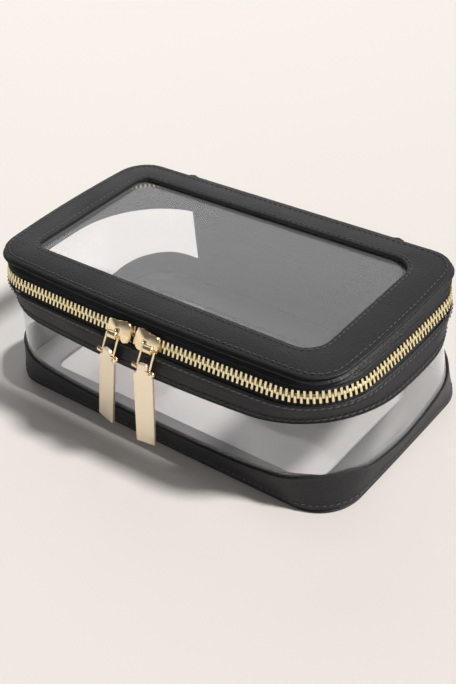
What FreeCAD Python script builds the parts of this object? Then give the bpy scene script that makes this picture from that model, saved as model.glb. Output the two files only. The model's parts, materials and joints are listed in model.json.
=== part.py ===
"""Zipped makeup bag of clear sheet and black leather, with a hinged lid and two zip sliders.

Frame: +X along the long side, -Y to the front where the pulls hang, +Z up.
The origin is the centre of the underside. Lengths are in millimetres.
"""
import FreeCAD, Part
import math
import os

import Sketcher
from FreeCAD import Placement, Rotation, Vector

X_AXIS = Vector(1, 0, 0)
Z_AXIS = Vector(0, 0, 1)

# Driving dimensions. The shell's outline is given at six heights. At each, half_x and half_y
# reach the side's ends, crown is how far the side bows out beyond them, and back is the flat rear.
SIZES = {
    "foot_level": 0.0, "foot_half_x": 109.8, "foot_half_y": 62.2, "foot_corner": 21.5,
    "foot_crown": 0.5, "foot_back": 62.7,
    "rim_level": 52.5, "rim_half_x": 110.1, "rim_half_y": 62.2, "rim_corner": 54.0,
    "rim_crown": 7.5, "rim_back": 62.7,
    "cuff_level": 64.0, "cuff_half_x": 110.9, "cuff_half_y": 63.0, "cuff_corner": 37.0,
    "cuff_crown": 4.2, "cuff_back": 62.7,
    "seat_level": 64.0, "seat_half_x": 110.5, "seat_half_y": 62.7, "seat_corner": 35.0,
    "seat_crown": 3.9, "seat_back": 62.1,
    "brim_level": 72.4, "brim_half_x": 109.5, "brim_half_y": 60.0, "brim_corner": 30.0,
    "brim_crown": 2.5, "brim_back": 61.3,
    "lid_level": 76.2, "lid_half_x": 106.6, "lid_half_y": 57.5, "lid_corner": 17.0,
    "lid_crown": 3.0, "lid_back": 58.9,
    # leather, clear sheet and the window that the lid and the floor share
    "leather": 1.2, "clear_sheet": 0.5, "stack_gap": 0.1,
    "window_half_x": 90.5, "window_half_y": 43.3, "window_corner": 12.0, "window_lap": 5.5,
    "lid_top": 79.1, "welt_out": 1.6, "welt_in": 1.3, "welt_height": 1.5, "foot_welt_height": 2.2,
    "wall_top": 60.0, "skirt_front_low": 13.8, "skirt_side_low": 12.0, "skirt_tip": 22.0,
    "lining_out": 1.15, "lining_low": 53.5, "lining_top": 62.6, "gusset_low": 73.6,
    # hinged back
    "back_half_x": 71.3, "back_seam": 0.4, "hinge_y": 62.9, "hinge_z": 68.8, "hinge_fold": 2.1,
    # zip
    "zip_level": 68.5, "zip_end_x": 72.5, "tooth_pitch": 2.7, "tooth_width": 1.15,
    "tooth_tip": 0.9, "tooth_root": 3.0, "tooth_half": 1.15, "tooth_nose": 0.75,
    "tape_half": 0.25, "tape_slot": 0.36, "tape_edge": 1.0, "row_parting": 1.25,
    # sliders, links and tags
    "slider_left_x": -9.4, "slider_right_x": 8.6, "slider_y": -64.4, "slider_tilt": 26.0,
    "slider_half": 7.6, "slider_wide": 5.0, "slider_narrow": 4.1, "slider_wall": 0.6,
    "channel_half": 1.45, "plate": 1.0, "post_half": 0.28,
    "leaf_radius": 4.6, "leaf_height": 2.5, "lip_radius": 2.4, "eye_radius": 1.15,
    "pull_offset": 2.6, "pull_drop": 3.2, "pull_rise": 3.7,
    "wire": 0.6, "link_half": 4.2, "link_length": 10.3, "knuckle": 1.3, "knuckle_length": 1.5,
    "pin_radius": 0.5, "pin_head": 1.05, "pin_head_length": 1.0,
    "tag_half": 5.3, "tag_length": 46.8, "tag_shoulder": 5.5, "tag_neck": 2.7, "tag_plate": 1.8,
    "barrel_radius": 1.7, "barrel_hole": 1.15,
    "link_lean": 3.0, "link_turn_left": -7.0, "link_turn_right": -4.0,
    "tag_lean_left": 12.0, "tag_lean_right": 5.5, "tag_turn_left": -6.0, "tag_turn_right": 4.0,
}

doc = FreeCAD.newDocument("makeup_bag")
sheet = doc.addObject("Spreadsheet::Sheet", "Sizes")
for row, (alias, number) in enumerate(SIZES.items(), start=1):
    sheet.set(f"A{row}", alias)
    sheet.set(f"B{row}", str(number))
    sheet.setAlias(f"B{row}", alias)
doc.recompute()


def size(alias):
    """A driving dimension as a number, read from the sheet."""
    return float(sheet.get(alias))


def worked_out(formula):
    """The value now of a formula over the sheet's aliases."""
    return float(sheet.evalExpression(linked(formula)))


def linked(formula):
    """A formula with each alias written as a reference to the sheet."""
    words = str(formula).replace("(", " ( ").replace(")", " ) ").split()
    return " ".join(f"Sizes.{word}" if word in SIZES else word for word in words)


# Bodies, sketches and features --------------------------------------------------------------

def new_body(label):
    return doc.addObject("PartDesign::Body", label)


def new_sketch(body, name, role="XY_Plane", height="0"):
    """A sketch on one of the body's own planes, lifted along that plane's normal."""
    sketch = body.newObject("Sketcher::SketchObject", name)
    plane = next(item for item in body.Origin.OriginFeatures if item.Role == role)
    sketch.AttachmentSupport = [(plane, "")]
    sketch.MapMode = "FlatFace"
    sketch.setExpression("AttachmentOffset.Base.z", linked(height))
    return sketch


def drive(sketch, name, constraint, formula):
    """Add a dimension to a sketch and bind it to the sheet."""
    index = sketch.addConstraint(constraint)
    sketch.renameConstraint(index, name)
    sketch.setExpression("Constraints." + name, linked(formula))


def add_polygon(sketch, corners):
    """A closed polygon whose corners are pairs of formulas."""
    points = [Vector(worked_out(x), worked_out(y), 0) for x, y in corners]
    edges = [sketch.addGeometry(Part.LineSegment(points[i - 1], points[i]), False)
             for i in range(len(points))]
    for i, edge in enumerate(edges):
        following = edges[(i + 1) % len(edges)]
        sketch.addConstraint(Sketcher.Constraint("Coincident", edge, 2, following, 1))
        distance_x = Sketcher.Constraint("DistanceX", -1, 1, edge, 2, points[i].x)
        distance_y = Sketcher.Constraint("DistanceY", -1, 1, edge, 2, points[i].y)
        drive(sketch, f"x{i}", distance_x, corners[i][0])
        drive(sketch, f"y{i}", distance_y, corners[i][1])


def add_circle(sketch, x, y, radius):
    centre = Vector(worked_out(x), worked_out(y), 0)
    circle = Part.Circle(centre, Z_AXIS, worked_out(radius))
    index = sketch.addGeometry(circle, False)
    drive(sketch, "x", Sketcher.Constraint("DistanceX", -1, 1, index, 3, centre.x), x)
    drive(sketch, "y", Sketcher.Constraint("DistanceY", -1, 1, index, 3, centre.y), y)
    drive(sketch, "radius", Sketcher.Constraint("Radius", index, circle.Radius), radius)


def add_arc(sketch, centre, radius, start, end):
    circle = Part.Circle(Vector(centre[0], centre[1], 0), Z_AXIS, radius)
    return sketch.addGeometry(Part.ArcOfCircle(circle, start, end), False)


def bearing(centre, point):
    return math.atan2(point[1] - centre[1], point[0] - centre[0])


def add_outline(sketch, level, inset="0", tag=""):
    """The shell's outline at one level: bowed front and sides, round corners and a flat back."""
    half_x, half_y, crown = (f"{level}_{word}" for word in ("half_x", "half_y", "crown"))
    front = f"( {half_x} ^ 2 + {crown} ^ 2 ) / ( 2 * {crown} )"
    side = f"( {half_y} ^ 2 + {crown} ^ 2 ) / ( 2 * {crown} )"
    formulas = {
        "front_radius": f"{front} - ( {inset} )",
        "side_radius": f"{side} - ( {inset} )",
        "corner_radius": f"{level}_corner - ( {inset} )",
        "front_centre": f"{front} - {half_y} - {crown}",
        "side_centre": f"{side} - {half_x} - {crown}",
        "back_line": f"{level}_back - ( {inset} )",
    }
    at = {name: worked_out(formula) for name, formula in formulas.items()}
    front_radius, side_radius, corner_radius = (
        at["front_radius"], at["side_radius"], at["corner_radius"])
    front_centre = (0, at["front_centre"])
    right_centre = (-at["side_centre"], 0)
    left_centre = (at["side_centre"], 0)
    # the front corner's arc touches the front and the side from inside
    reach_front = front_radius - corner_radius
    reach_side = side_radius - corner_radius
    apart = math.dist(front_centre, right_centre)
    along = (reach_front ** 2 - reach_side ** 2 + apart ** 2) / (2 * apart)
    across = math.sqrt(reach_front ** 2 - along ** 2)
    step_x = (right_centre[0] - front_centre[0]) / apart
    step_y = (right_centre[1] - front_centre[1]) / apart
    corner = (front_centre[0] + along * step_x - across * step_y,
              front_centre[1] + along * step_y + across * step_x)
    rear_y = at["back_line"] - corner_radius
    rear_x = right_centre[0] + math.sqrt(reach_side ** 2 - rear_y ** 2)
    on_front = bearing(front_centre, corner)
    on_side = bearing(right_centre, corner)
    on_rear = bearing(right_centre, (rear_x, rear_y))
    back_right = Vector(rear_x, at["back_line"], 0)
    back_left = Vector(-rear_x, at["back_line"], 0)
    turn = math.pi
    ring = [
        add_arc(sketch, front_centre, front_radius, -turn - on_front, on_front),
        add_arc(sketch, corner, corner_radius, on_front, on_side),
        add_arc(sketch, right_centre, side_radius, on_side, on_rear),
        add_arc(sketch, (rear_x, rear_y), corner_radius, on_rear, turn / 2),
        sketch.addGeometry(Part.LineSegment(back_right, back_left), False),
        add_arc(sketch, (-rear_x, rear_y), corner_radius, turn / 2, turn - on_rear),
        add_arc(sketch, left_centre, side_radius, turn - on_rear, turn - on_side),
        add_arc(sketch, (-corner[0], corner[1]), corner_radius, turn - on_side, turn - on_front),
    ]
    front_arc, corner_arc, right_arc, _, back_line, _, left_arc, _ = ring
    rules = [Sketcher.Constraint("Tangent", first, 2, second, 1)
             for first, second in zip(ring, ring[1:] + ring[:1])]
    rules.append(Sketcher.Constraint("PointOnObject", front_arc, 3, -2))
    rules.append(Sketcher.Constraint("PointOnObject", right_arc, 3, -1))
    rules.append(Sketcher.Constraint("PointOnObject", left_arc, 3, -1))
    rules.append(Sketcher.Constraint("Horizontal", back_line))
    rules += [Sketcher.Constraint("Equal", corner_arc, ring[i]) for i in (3, 5, 7)]
    rules.append(Sketcher.Constraint("Equal", right_arc, left_arc))
    sketch.addConstraint(rules)
    dimensions = [
        ("front_radius", Sketcher.Constraint("Radius", front_arc, front_radius), "front_radius"),
        ("side_radius", Sketcher.Constraint("Radius", right_arc, side_radius), "side_radius"),
        ("corner_radius", Sketcher.Constraint("Radius", corner_arc, corner_radius),
         "corner_radius"),
        ("front_centre", Sketcher.Constraint("DistanceY", -1, 1, front_arc, 3, front_centre[1]),
         "front_centre"),
        ("right_centre", Sketcher.Constraint("DistanceX", right_arc, 3, -1, 1, left_centre[0]),
         "side_centre"),
        ("left_centre", Sketcher.Constraint("DistanceX", -1, 1, left_arc, 3, left_centre[0]),
         "side_centre"),
        ("back_line", Sketcher.Constraint("DistanceY", -1, 1, back_line, 1, at["back_line"]),
         "back_line"),
    ]
    for name, constraint, formula in dimensions:
        drive(sketch, name + tag, constraint, formulas[formula])


def add_window(sketch, grow="0"):
    """The window's rounded rectangle, larger all round by grow."""
    half_x, half_y, radius = (f"{word} + {grow}" for word in
                              ("window_half_x", "window_half_y", "window_corner"))
    wide, deep, turn = worked_out(half_x), worked_out(half_y), worked_out(radius)
    quarter = math.pi / 2
    arcs = []
    for index, (sign_x, sign_y) in enumerate([(1, -1), (1, 1), (-1, 1), (-1, -1)]):
        centre = (sign_x * (wide - turn), sign_y * (deep - turn))
        arcs.append(add_arc(sketch, centre, turn, (index - 1) * quarter, index * quarter))
    ends = [(arcs[i], arcs[(i + 1) % 4]) for i in range(4)]
    lines = [sketch.addGeometry(Part.LineSegment(sketch.getPoint(first, 2),
                                                 sketch.getPoint(second, 1)), False)
             for first, second in ends]
    for (first, second), line in zip(ends, lines):
        sketch.addConstraint(Sketcher.Constraint("Tangent", first, 2, line, 1))
        sketch.addConstraint(Sketcher.Constraint("Tangent", line, 2, second, 1))
    for arc in arcs[1:]:
        sketch.addConstraint(Sketcher.Constraint("Equal", arcs[0], arc))
    sketch.addConstraint(Sketcher.Constraint("Symmetric", arcs[0], 3, arcs[2], 3, -1, 1))
    for line, direction in zip(lines, ("Vertical", "Horizontal")):
        sketch.addConstraint(Sketcher.Constraint(direction, line))
    drive(sketch, "window_radius", Sketcher.Constraint("Radius", arcs[0], turn), radius)
    drive(sketch, "window_x", Sketcher.Constraint("DistanceX", -1, 1, arcs[0], 3, wide - turn),
          f"{half_x} - ( {radius} )")
    drive(sketch, "window_y", Sketcher.Constraint("DistanceY", arcs[0], 3, -1, 1, deep - turn),
          f"{half_y} - ( {radius} )")


def pad(body, sketch, thickness, centred=False):
    feature = body.newObject("PartDesign::Pad", sketch.Name + "_pad")
    feature.Profile = sketch
    feature.Midplane = centred
    feature.setExpression("Length", linked(thickness))
    return feature


def cut_through(body, sketch, depth):
    """Pocket a sketch to both sides of its plane, and check that it took something away."""
    doc.recompute()
    before = body.Shape.Volume
    feature = body.newObject("PartDesign::Pocket", sketch.Name + "_cut")
    feature.Profile = sketch
    feature.Midplane = True
    feature.setExpression("Length", linked(depth))
    doc.recompute()
    if body.Shape.Volume > before - 0.01:
        raise RuntimeError(f"{feature.Name} cuts nothing")


def ring_wall(label, low, high, outer, inner):
    """A closed wall between two levels, from one inset of the shell to another."""
    body = new_body(label)
    for kind, inset in (("Additive", outer), ("Subtractive", inner)):
        sections = []
        for level in (low, high):
            sketch = new_sketch(body, f"{label}_{level}_{kind}", height=f"{level}_level")
            add_outline(sketch, level, inset)
            sections.append(sketch)
        loft = body.newObject(f"PartDesign::{kind}Loft", f"{label}_{kind}")
        loft.Profile = sections[0]
        loft.Sections = [sections[1]]
        loft.Ruled = True
        doc.recompute()
    return body


def trim_band(body, low, high):
    """Take away everything between two heights."""
    sketch = new_sketch(body, f"{body.Label}_trim_{len(body.Group)}", "XZ_Plane")
    wide = "2 * rim_half_x"
    add_polygon(sketch, [(f"0 - {wide}", low), (wide, low), (wide, high), (f"0 - {wide}", high)])
    cut_through(body, sketch, "4 * rim_half_x")


def open_back(body, low, high, half_width):
    """Take away the rear, where the back panel stands, between two heights."""
    sketch = new_sketch(body, f"{body.Label}_back", "XZ_Plane", "0 - foot_back")
    add_polygon(sketch, [(f"0 - ( {half_width} )", low), (half_width, low),
                         (half_width, high), (f"0 - ( {half_width} )", high)])
    cut_through(body, sketch, "foot_corner")


def flat_ring(label, level, outer, bottom, thickness, hole=None, inner=None):
    """A flat piece with the shell's outline, holed by the window or by a smaller outline."""
    body = new_body(label)
    sketch = new_sketch(body, label + "_outline", height=bottom)
    add_outline(sketch, level, outer)
    if hole is not None:
        add_window(sketch, hole)
    if inner is not None:
        add_outline(sketch, level, inner, "_inner")
    pad(body, sketch, thickness)
    return body


def window_sheet(label, bottom):
    body = new_body(label)
    sketch = new_sketch(body, label + "_outline", height=bottom)
    add_window(sketch, "window_lap")
    pad(body, sketch, "clear_sheet")
    return body


def upright_plate(label, outer_y, thickness, low, high):
    """A flat panel across the back, its outer face at outer_y."""
    body = new_body(label)
    sketch = new_sketch(body, label + "_face", "XZ_Plane", f"0 - ( {outer_y} ) + {thickness} / 2")
    add_polygon(sketch, [("0 - back_half_x", low), ("back_half_x", low),
                         ("back_half_x", high), ("0 - back_half_x", high)])
    pad(body, sketch, thickness, centred=True)
    return body


# Lid ------------------------------------------------------------------------------------------

def make_lid():
    flat_ring("lid_frame", "lid", "0 - 0.6", "lid_top - leather", "leather", hole="0")
    flat_ring("lid_welt", "lid", "0 - welt_out",
              "lid_top - leather - stack_gap - welt_height", "welt_height", inner="welt_in")
    window_sheet("lid_window", "lid_top - leather - stack_gap - clear_sheet")
    flat_ring("lid_lining", "lid", "welt_in + 2 * stack_gap",
              "lid_top - leather - 2 * stack_gap - clear_sheet - leather / 2", "leather / 2",
              hole="0")
    gusset = ring_wall("lid_gusset", "brim", "lid", "0 - 0.9", "0 - 0.3")
    trim_band(gusset, "brim_level - 1", "gusset_low")
    open_back(gusset, "brim_level - 1", "lid_level + 1", "back_half_x + back_seam")
    upright_plate("hinge_panel", "hinge_y", "hinge_fold", "hinge_z + back_seam / 2", "lid_level")


# Body of the bag ------------------------------------------------------------------------------

def make_floor():
    flat_ring("floor_welt", "foot", "0 - leather - stack_gap", "0", "foot_welt_height",
              inner="leather")
    flat_ring("floor_frame", "foot", "leather + stack_gap", "leather / 2", "leather", hole="0")
    window_sheet("floor_window", "3 * leather / 2 + stack_gap")
    flat_ring("floor_lining", "foot", "leather + stack_gap",
              "3 * leather / 2 + 2 * stack_gap + clear_sheet", "leather / 2", hole="0")


def make_clear_wall():
    """Two ruled lofts, foot to rim and rim to cuff, open behind where the back panel stands."""
    body = new_body("clear_wall")
    for kind, inset in (("Additive", "0"), ("Subtractive", "clear_sheet")):
        sections = []
        for level in ("foot", "rim", "cuff"):
            sketch = new_sketch(body, f"wall_{level}_{kind}", height=f"{level}_level")
            add_outline(sketch, level, inset)
            sections.append(sketch)
        loft = body.newObject(f"PartDesign::{kind}Loft", f"wall_{kind}")
        loft.Profile = sections[0]
        loft.Sections = sections[1:]
        loft.Ruled = True
        doc.recompute()
    trim_band(body, "0 - 1", "foot_welt_height + stack_gap")
    trim_band(body, "wall_top", "cuff_level + 1")
    open_back(body, "0 - 1", "cuff_level + 1", "back_half_x + back_seam")


def hollow_circle(tip_reach, low):
    """Radius of the arc that hangs from the skirt's tips down to its lowest point."""
    rise = f"( skirt_tip - {low} )"
    return f"( {tip_reach} ^ 2 + {rise} ^ 2 ) / ( 2 * {rise} )"


def make_skirt():
    """The leather band round the foot, hollowed by one arc along X and one along Y."""
    body = ring_wall("skirt", "foot", "rim", "0 - leather - stack_gap", "0 - stack_gap")
    trim_band(body, "0 - 1", "foot_welt_height + stack_gap")
    for name, role, reach, low in (("long", "XZ_Plane", "foot_half_x", "skirt_front_low"),
                                   ("short", "YZ_Plane", "foot_half_y", "skirt_side_low")):
        radius = hollow_circle(reach, low)
        sketch = new_sketch(body, f"skirt_{name}_arc", role)
        add_circle(sketch, "0", f"{low} + {radius}", radius)
        cut_through(body, sketch, "4 * foot_half_x")


def make_upper_bands():
    cuff = ring_wall("cuff", "rim", "cuff", "0 - leather - 2 * stack_gap", "0 - stack_gap")
    open_back(cuff, "rim_level - 1", "cuff_level + 1", "back_half_x + back_seam")
    lining = ring_wall("cuff_lining", "rim", "cuff", "lining_out", "lining_out + leather / 2")
    trim_band(lining, "rim_level - 1", "lining_low")
    trim_band(lining, "lining_top", "cuff_level + 1")
    open_back(lining, "rim_level - 1", "cuff_level + 1", "back_half_x + back_seam")
    upright_plate("back_panel", "foot_back", "leather", "foot_welt_height + stack_gap",
                  "hinge_z - back_seam / 2")
    upright_plate("back_lining", "foot_back - leather - stack_gap", "leather / 2",
                  "foot_welt_height + leather + 4 * stack_gap", "hinge_z - back_seam / 2")


# Zip ------------------------------------------------------------------------------------------

def parted_edges():
    """The gap in the tapes where the rows stand apart, a little longer than the parting."""
    start, end = "slider_left_x - 0.58 * slider_half", "slider_right_x + 0.58 * slider_half"
    full_start, full_end = "slider_left_x + 0.24 * slider_half", "slider_right_x - 0.24 * slider_half"
    upper = [(end, "zip_level + tape_edge"), (full_end, "zip_level + tape_edge + row_parting"),
             (full_start, "zip_level + tape_edge + row_parting"), (start, "zip_level + tape_edge")]
    lower = [(x, y.replace("+", "-")) for x, y in reversed(upper)]
    return upper + lower


def make_tapes():
    """The two woven tapes, one ruled band from the seat to the brim with the chain between."""
    for label, low, high in (
            ("zip_tape_upper", "seat_level - 1", "zip_level + tape_edge"),
            ("zip_tape_lower", "zip_level - tape_edge", "brim_level + 1")):
        tape = ring_wall(label, "seat", "brim", "0 - tape_half", "tape_half")
        trim_band(tape, low, high)
        open_back(tape, "seat_level - 1", "brim_level + 1", "zip_end_x - 1")
        notch = new_sketch(tape, f"{label}_notch", "XZ_Plane")
        add_polygon(notch, parted_edges())
        cut_through(tape, notch, "4 * rim_half_x")


def tape_lines():
    """The sewn edges of the two tapes as wires with matching edges."""
    wires = []
    for level in ("seat", "brim"):
        sketch = doc.addObject("Sketcher::SketchObject", f"tape_line_{level}")
        sketch.Placement = Placement(Vector(0, 0, size(f"{level}_level")), Rotation())
        add_outline(sketch, level)
        doc.recompute()
        wires.append(sketch.Shape.Wires[0].OrderedEdges)
    return list(zip(*wires))


def chain_places():
    """Centre, direction along the zip and direction across it, every half pitch."""
    share = (size("zip_level") - size("seat_level")) / (size("brim_level") - size("seat_level"))
    fine = []
    for low_edge, high_edge in tape_lines():
        steps = max(8, int(low_edge.Length * 2))
        for step in range(steps):
            low, high = (edge.valueAt(edge.FirstParameter + (edge.LastParameter
                         - edge.FirstParameter) * step / steps) for edge in (low_edge, high_edge))
            fine.append((low + (high - low) * share, high - low))
    # start in the middle of the back, so that the run round the front is unbroken
    start = max(range(len(fine)), key=lambda i: fine[i][0].y - abs(fine[i][0].x))
    fine = fine[start:] + fine[:start]
    half_pitch = size("tooth_pitch") / 2
    places = []
    travelled, wanted = 0.0, half_pitch
    for (before, across_before), (after, across_after) in zip(fine, fine[1:]):
        length = before.distanceToPoint(after)
        while wanted <= travelled + length:
            part = (wanted - travelled) / length
            wanted += half_pitch
            point = before + (after - before) * part
            if point.y > 0 and abs(point.x) < size("zip_end_x"):
                continue
            along = (after - before).normalize()
            across = across_before + (across_after - across_before) * part
            places.append((point, along, (across - along * across.dot(along)).normalize()))
        travelled += length
    return places


def smooth_step(value):
    value = min(1.0, max(0.0, value))
    return value * value * (3 - 2 * value)


def parting(point):
    """How far each row stands off the chain's middle line, open between the two sliders."""
    if point.y > 0:
        return 0.0
    left = size("slider_left_x")
    right = size("slider_right_x")
    ramp = 0.8 * size("slider_half")
    opening = smooth_step((point.x - left + ramp / 2) / ramp)
    closing = smooth_step((right + ramp / 2 - point.x) / ramp)
    return size("row_parting") * opening * closing


def tooth(point, along, across, side):
    """One tooth: a nose that meshes, and two legs that clasp the tape's edge."""
    normal = across.cross(along)
    centre = point + across * (side * parting(point))
    tip, root = size("tooth_tip"), size("tooth_root")
    half, nose = size("tooth_half"), size("tooth_nose")
    slot, slot_end = size("tape_slot"), size("tape_edge") - 0.15
    profile = [(-tip, -nose), (-tip, nose), (nose - tip, half), (root, half), (root, slot),
               (slot_end, slot), (slot_end, -slot), (root, -slot), (root, -half),
               (nose - tip, -half)]
    start = centre - along * (size("tooth_width") / 2)
    points = [start + across * (side * across_by) + normal * out_by
              for across_by, out_by in profile]
    face = Part.Face(Part.makePolygon(points + points[:1]))
    return face.extrude(along * size("tooth_width"))


def make_teeth():
    """Both rows, each tooth a solid of its own, the upper row half a pitch ahead."""
    places = chain_places()
    for label, side, first in (("zip_teeth_lower", -1, 0), ("zip_teeth_upper", 1, 1)):
        feature = doc.addObject("Part::Feature", label)
        feature.Shape = Part.makeCompound([tooth(*place, side) for place in places[first::2]])


# Sliders, links and tags ----------------------------------------------------------------------
# Each piece is drawn flat, with x along the zip, y up the bag's face and z out of it, and is
# then stood up by its Placement.

def stood_up(x, y, z, tilt, lean=0.0, turn=0.0):
    """Place a flat-drawn piece: tilt leans its top back from upright, lean turns it in its face
    and turn swivels it about the vertical."""
    upright = Rotation(Z_AXIS, turn).multiply(Rotation(X_AXIS, 90 - tilt))
    return Placement(Vector(x, y, z), upright.multiply(Rotation(Z_AXIS, lean)))


def slider_outline(way):
    """Wide at the open end, narrow at the closed end, which points along way."""
    upper = [("0 - slider_half", "slider_wide - 2.5"), ("0 - slider_half + 1.4", "slider_wide"),
             ("0 - 1.5", "slider_wide"), ("3.5", "slider_narrow"),
             ("slider_half - 0.6", "slider_narrow"), ("slider_half", "slider_narrow - 0.8")]
    lower = [(x, f"0 - ( {y} )") for x, y in reversed(upper)]
    return [(f"{way} * ( {x} )", y) for x, y in upper + lower]


def slider_channel(way):
    upper = [("0 - slider_half - 2", "slider_wide - slider_wall"),
             ("0 - 1.5", "slider_wide - slider_wall"), ("3.5", "slider_narrow - slider_wall"),
             ("slider_half + 2", "slider_narrow - slider_wall")]
    lower = [(x, f"0 - ( {y} )") for x, y in reversed(upper)]
    return [(f"{way} * ( {x} )", y) for x, y in upper + lower]


def make_slider(side, way, placement):
    """Front and back plates, rails at both edges, and the post that parts the rows."""
    body = new_body(f"slider_body_{side}")
    sketch = new_sketch(body, f"slider_plates_{side}")
    add_polygon(sketch, slider_outline(way))
    pad(body, sketch, "2 * ( channel_half + plate )", centred=True)
    channel = new_sketch(body, f"slider_channel_{side}")
    add_polygon(channel, slider_channel(way))
    cut_through(body, channel, "2 * channel_half")
    # the rails stand on the back plate only, which lets the front plate ride over the leather
    slots = new_sketch(body, f"slider_slots_{side}", "YZ_Plane")
    reach, gap = "2 * slider_wide", "0 - tape_half - 0.2"
    add_polygon(slots, [(f"0 - {reach}", gap), (reach, gap),
                        (reach, "channel_half"), (f"0 - {reach}", "channel_half")])
    cut_through(body, slots, "4 * slider_half")
    post = new_sketch(body, f"slider_post_{side}")
    add_polygon(post, [(f"{way} * ( {x} )", y) for x, y in (
        ("0 - slider_half + 1", "0 - post_half"), ("0 - slider_half + 3.4", "0 - post_half"),
        ("0 - slider_half + 4.4", "0"), ("0 - slider_half + 3.4", "post_half"),
        ("0 - slider_half + 1", "post_half"))])
    pad(body, post, "2 * channel_half + plate", centred=True)
    body.Placement = placement


def make_crown(side, way, placement):
    """The leaf-shaped bridge on the slider, with the link's eye in its lower lip."""
    body = new_body(f"slider_crown_{side}")
    base = "channel_half + plate + stack_gap / 2"
    leaf = new_sketch(body, f"crown_leaf_{side}", height=base)
    add_circle(leaf, f"{way} * ( 0 - 1 )", "1.5", "leaf_radius")
    pad(body, leaf, "leaf_height")
    lip = new_sketch(body, f"crown_lip_{side}", height=base)
    add_circle(lip, f"{way} * pull_offset", "0 - pull_drop", "lip_radius")
    pad(body, lip, "leaf_height")
    eye = new_sketch(body, f"crown_eye_{side}", "YZ_Plane")
    add_circle(eye, "0 - pull_drop", "pull_rise", "eye_radius")
    cut_through(body, eye, "4 * slider_half")
    body.Placement = placement


def primitive(kind, name, at, turn=None, **sizes):
    """A Part primitive with sizes and position bound to the sheet."""
    item = doc.addObject(f"Part::{kind}", name)
    for key, formula in sizes.items():
        item.setExpression(key, linked(formula))
    if turn is not None:
        item.Placement = Placement(Vector(), turn)
    for letter, formula in zip("xyz", at):
        item.setExpression(f"Placement.Base.{letter}", linked(formula))
    return item


def joined(kind, label, **links):
    item = doc.addObject(f"Part::{kind}", label)
    for key, value in links.items():
        setattr(item, key, value)
    doc.recompute()
    return item


ALONG_X = Rotation(Vector(0, 1, 0), 90)
UP_THE_FACE = Rotation(X_AXIS, -90)


def make_link(side, placement):
    """A bail of round wire: the top bar, two side bars and a knuckle at each foot."""
    solids = [primitive("Cylinder", f"link_top_{side}", ("0 - link_half", "0", "0"), ALONG_X,
                        Radius="wire", Height="2 * link_half")]
    holes = []
    for name, sign in (("a", "- 1"), ("b", "1")):
        x = f"{sign} * link_half"
        foot_x = f"{x} - knuckle_length / 2"
        solids.append(primitive("Sphere", f"link_corner_{name}_{side}", (x, "0", "0"),
                                Radius="wire"))
        solids.append(primitive("Cylinder", f"link_bar_{name}_{side}",
                                (x, "0 - link_length", "0"), UP_THE_FACE,
                                Radius="wire", Height="link_length"))
        solids.append(primitive("Cylinder", f"link_foot_{name}_{side}",
                                (foot_x, "0 - link_length", "0"), ALONG_X,
                                Radius="knuckle", Height="knuckle_length"))
        holes.append(primitive("Cylinder", f"link_bore_{name}_{side}",
                               (f"{foot_x} - 1", "0 - link_length", "0"), ALONG_X,
                               Radius="pin_radius + 0.05", Height="knuckle_length + 2"))
    wire = joined("MultiFuse", f"link_wire_{side}", Shapes=solids)
    bores = joined("MultiFuse", f"link_bores_{side}", Shapes=holes)
    link = joined("Cut", f"pull_link_{side}", Base=wire, Tool=bores)
    link.Placement = placement


def make_pin(side, placement):
    """The rod through both knuckles, with a round head at each end."""
    reach = "( link_half + knuckle_length / 2 + stack_gap )"
    rod = primitive("Cylinder", f"pin_rod_{side}", (f"0 - {reach} - 0.2", "0", "0"), ALONG_X,
                    Radius="pin_radius", Height=f"2 * {reach} + 0.4")
    heads = [primitive("Cylinder", f"pin_head_{name}_{side}", (start, "0", "0"), ALONG_X,
                       Radius="pin_head", Height="pin_head_length")
             for name, start in (("a", f"0 - {reach} - pin_head_length"), ("b", reach))]
    pin = joined("MultiFuse", f"tag_pin_{side}", Shapes=[rod] + heads)
    pin.Placement = placement


def make_tag(side, placement):
    """A flat bar with a narrow neck that ends in a barrel round the pin."""
    plate = primitive("Box", f"tag_plate_{side}",
                      ("0 - tag_half", "0 - tag_length", "0 - tag_plate / 2"),
                      Length="2 * tag_half", Width="tag_length - tag_shoulder",
                      Height="tag_plate")
    edges = [(i, 0.4, 0.4) for i in range(1, 13)]
    chamfered = doc.addObject("Part::Chamfer", f"tag_bar_{side}")
    chamfered.Base = plate
    chamfered.Edges = edges
    neck = primitive("Box", f"tag_neck_{side}",
                     ("0 - tag_neck", "0 - tag_shoulder - 0.5", "0 - tag_plate / 2"),
                     Length="2 * tag_neck", Width="tag_shoulder + 0.5", Height="tag_plate")
    barrel = primitive("Cylinder", f"tag_barrel_{side}", ("0 - tag_neck", "0", "0"), ALONG_X,
                       Radius="barrel_radius", Height="2 * tag_neck")
    hole = primitive("Cylinder", f"tag_hole_{side}", ("0 - 2 * tag_neck", "0", "0"), ALONG_X,
                     Radius="barrel_hole", Height="4 * tag_neck")
    solid = joined("MultiFuse", f"tag_solid_{side}", Shapes=[chamfered, neck, barrel])
    tag = joined("Cut", f"pull_tag_{side}", Base=solid, Tool=hole)
    tag.Placement = placement


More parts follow.
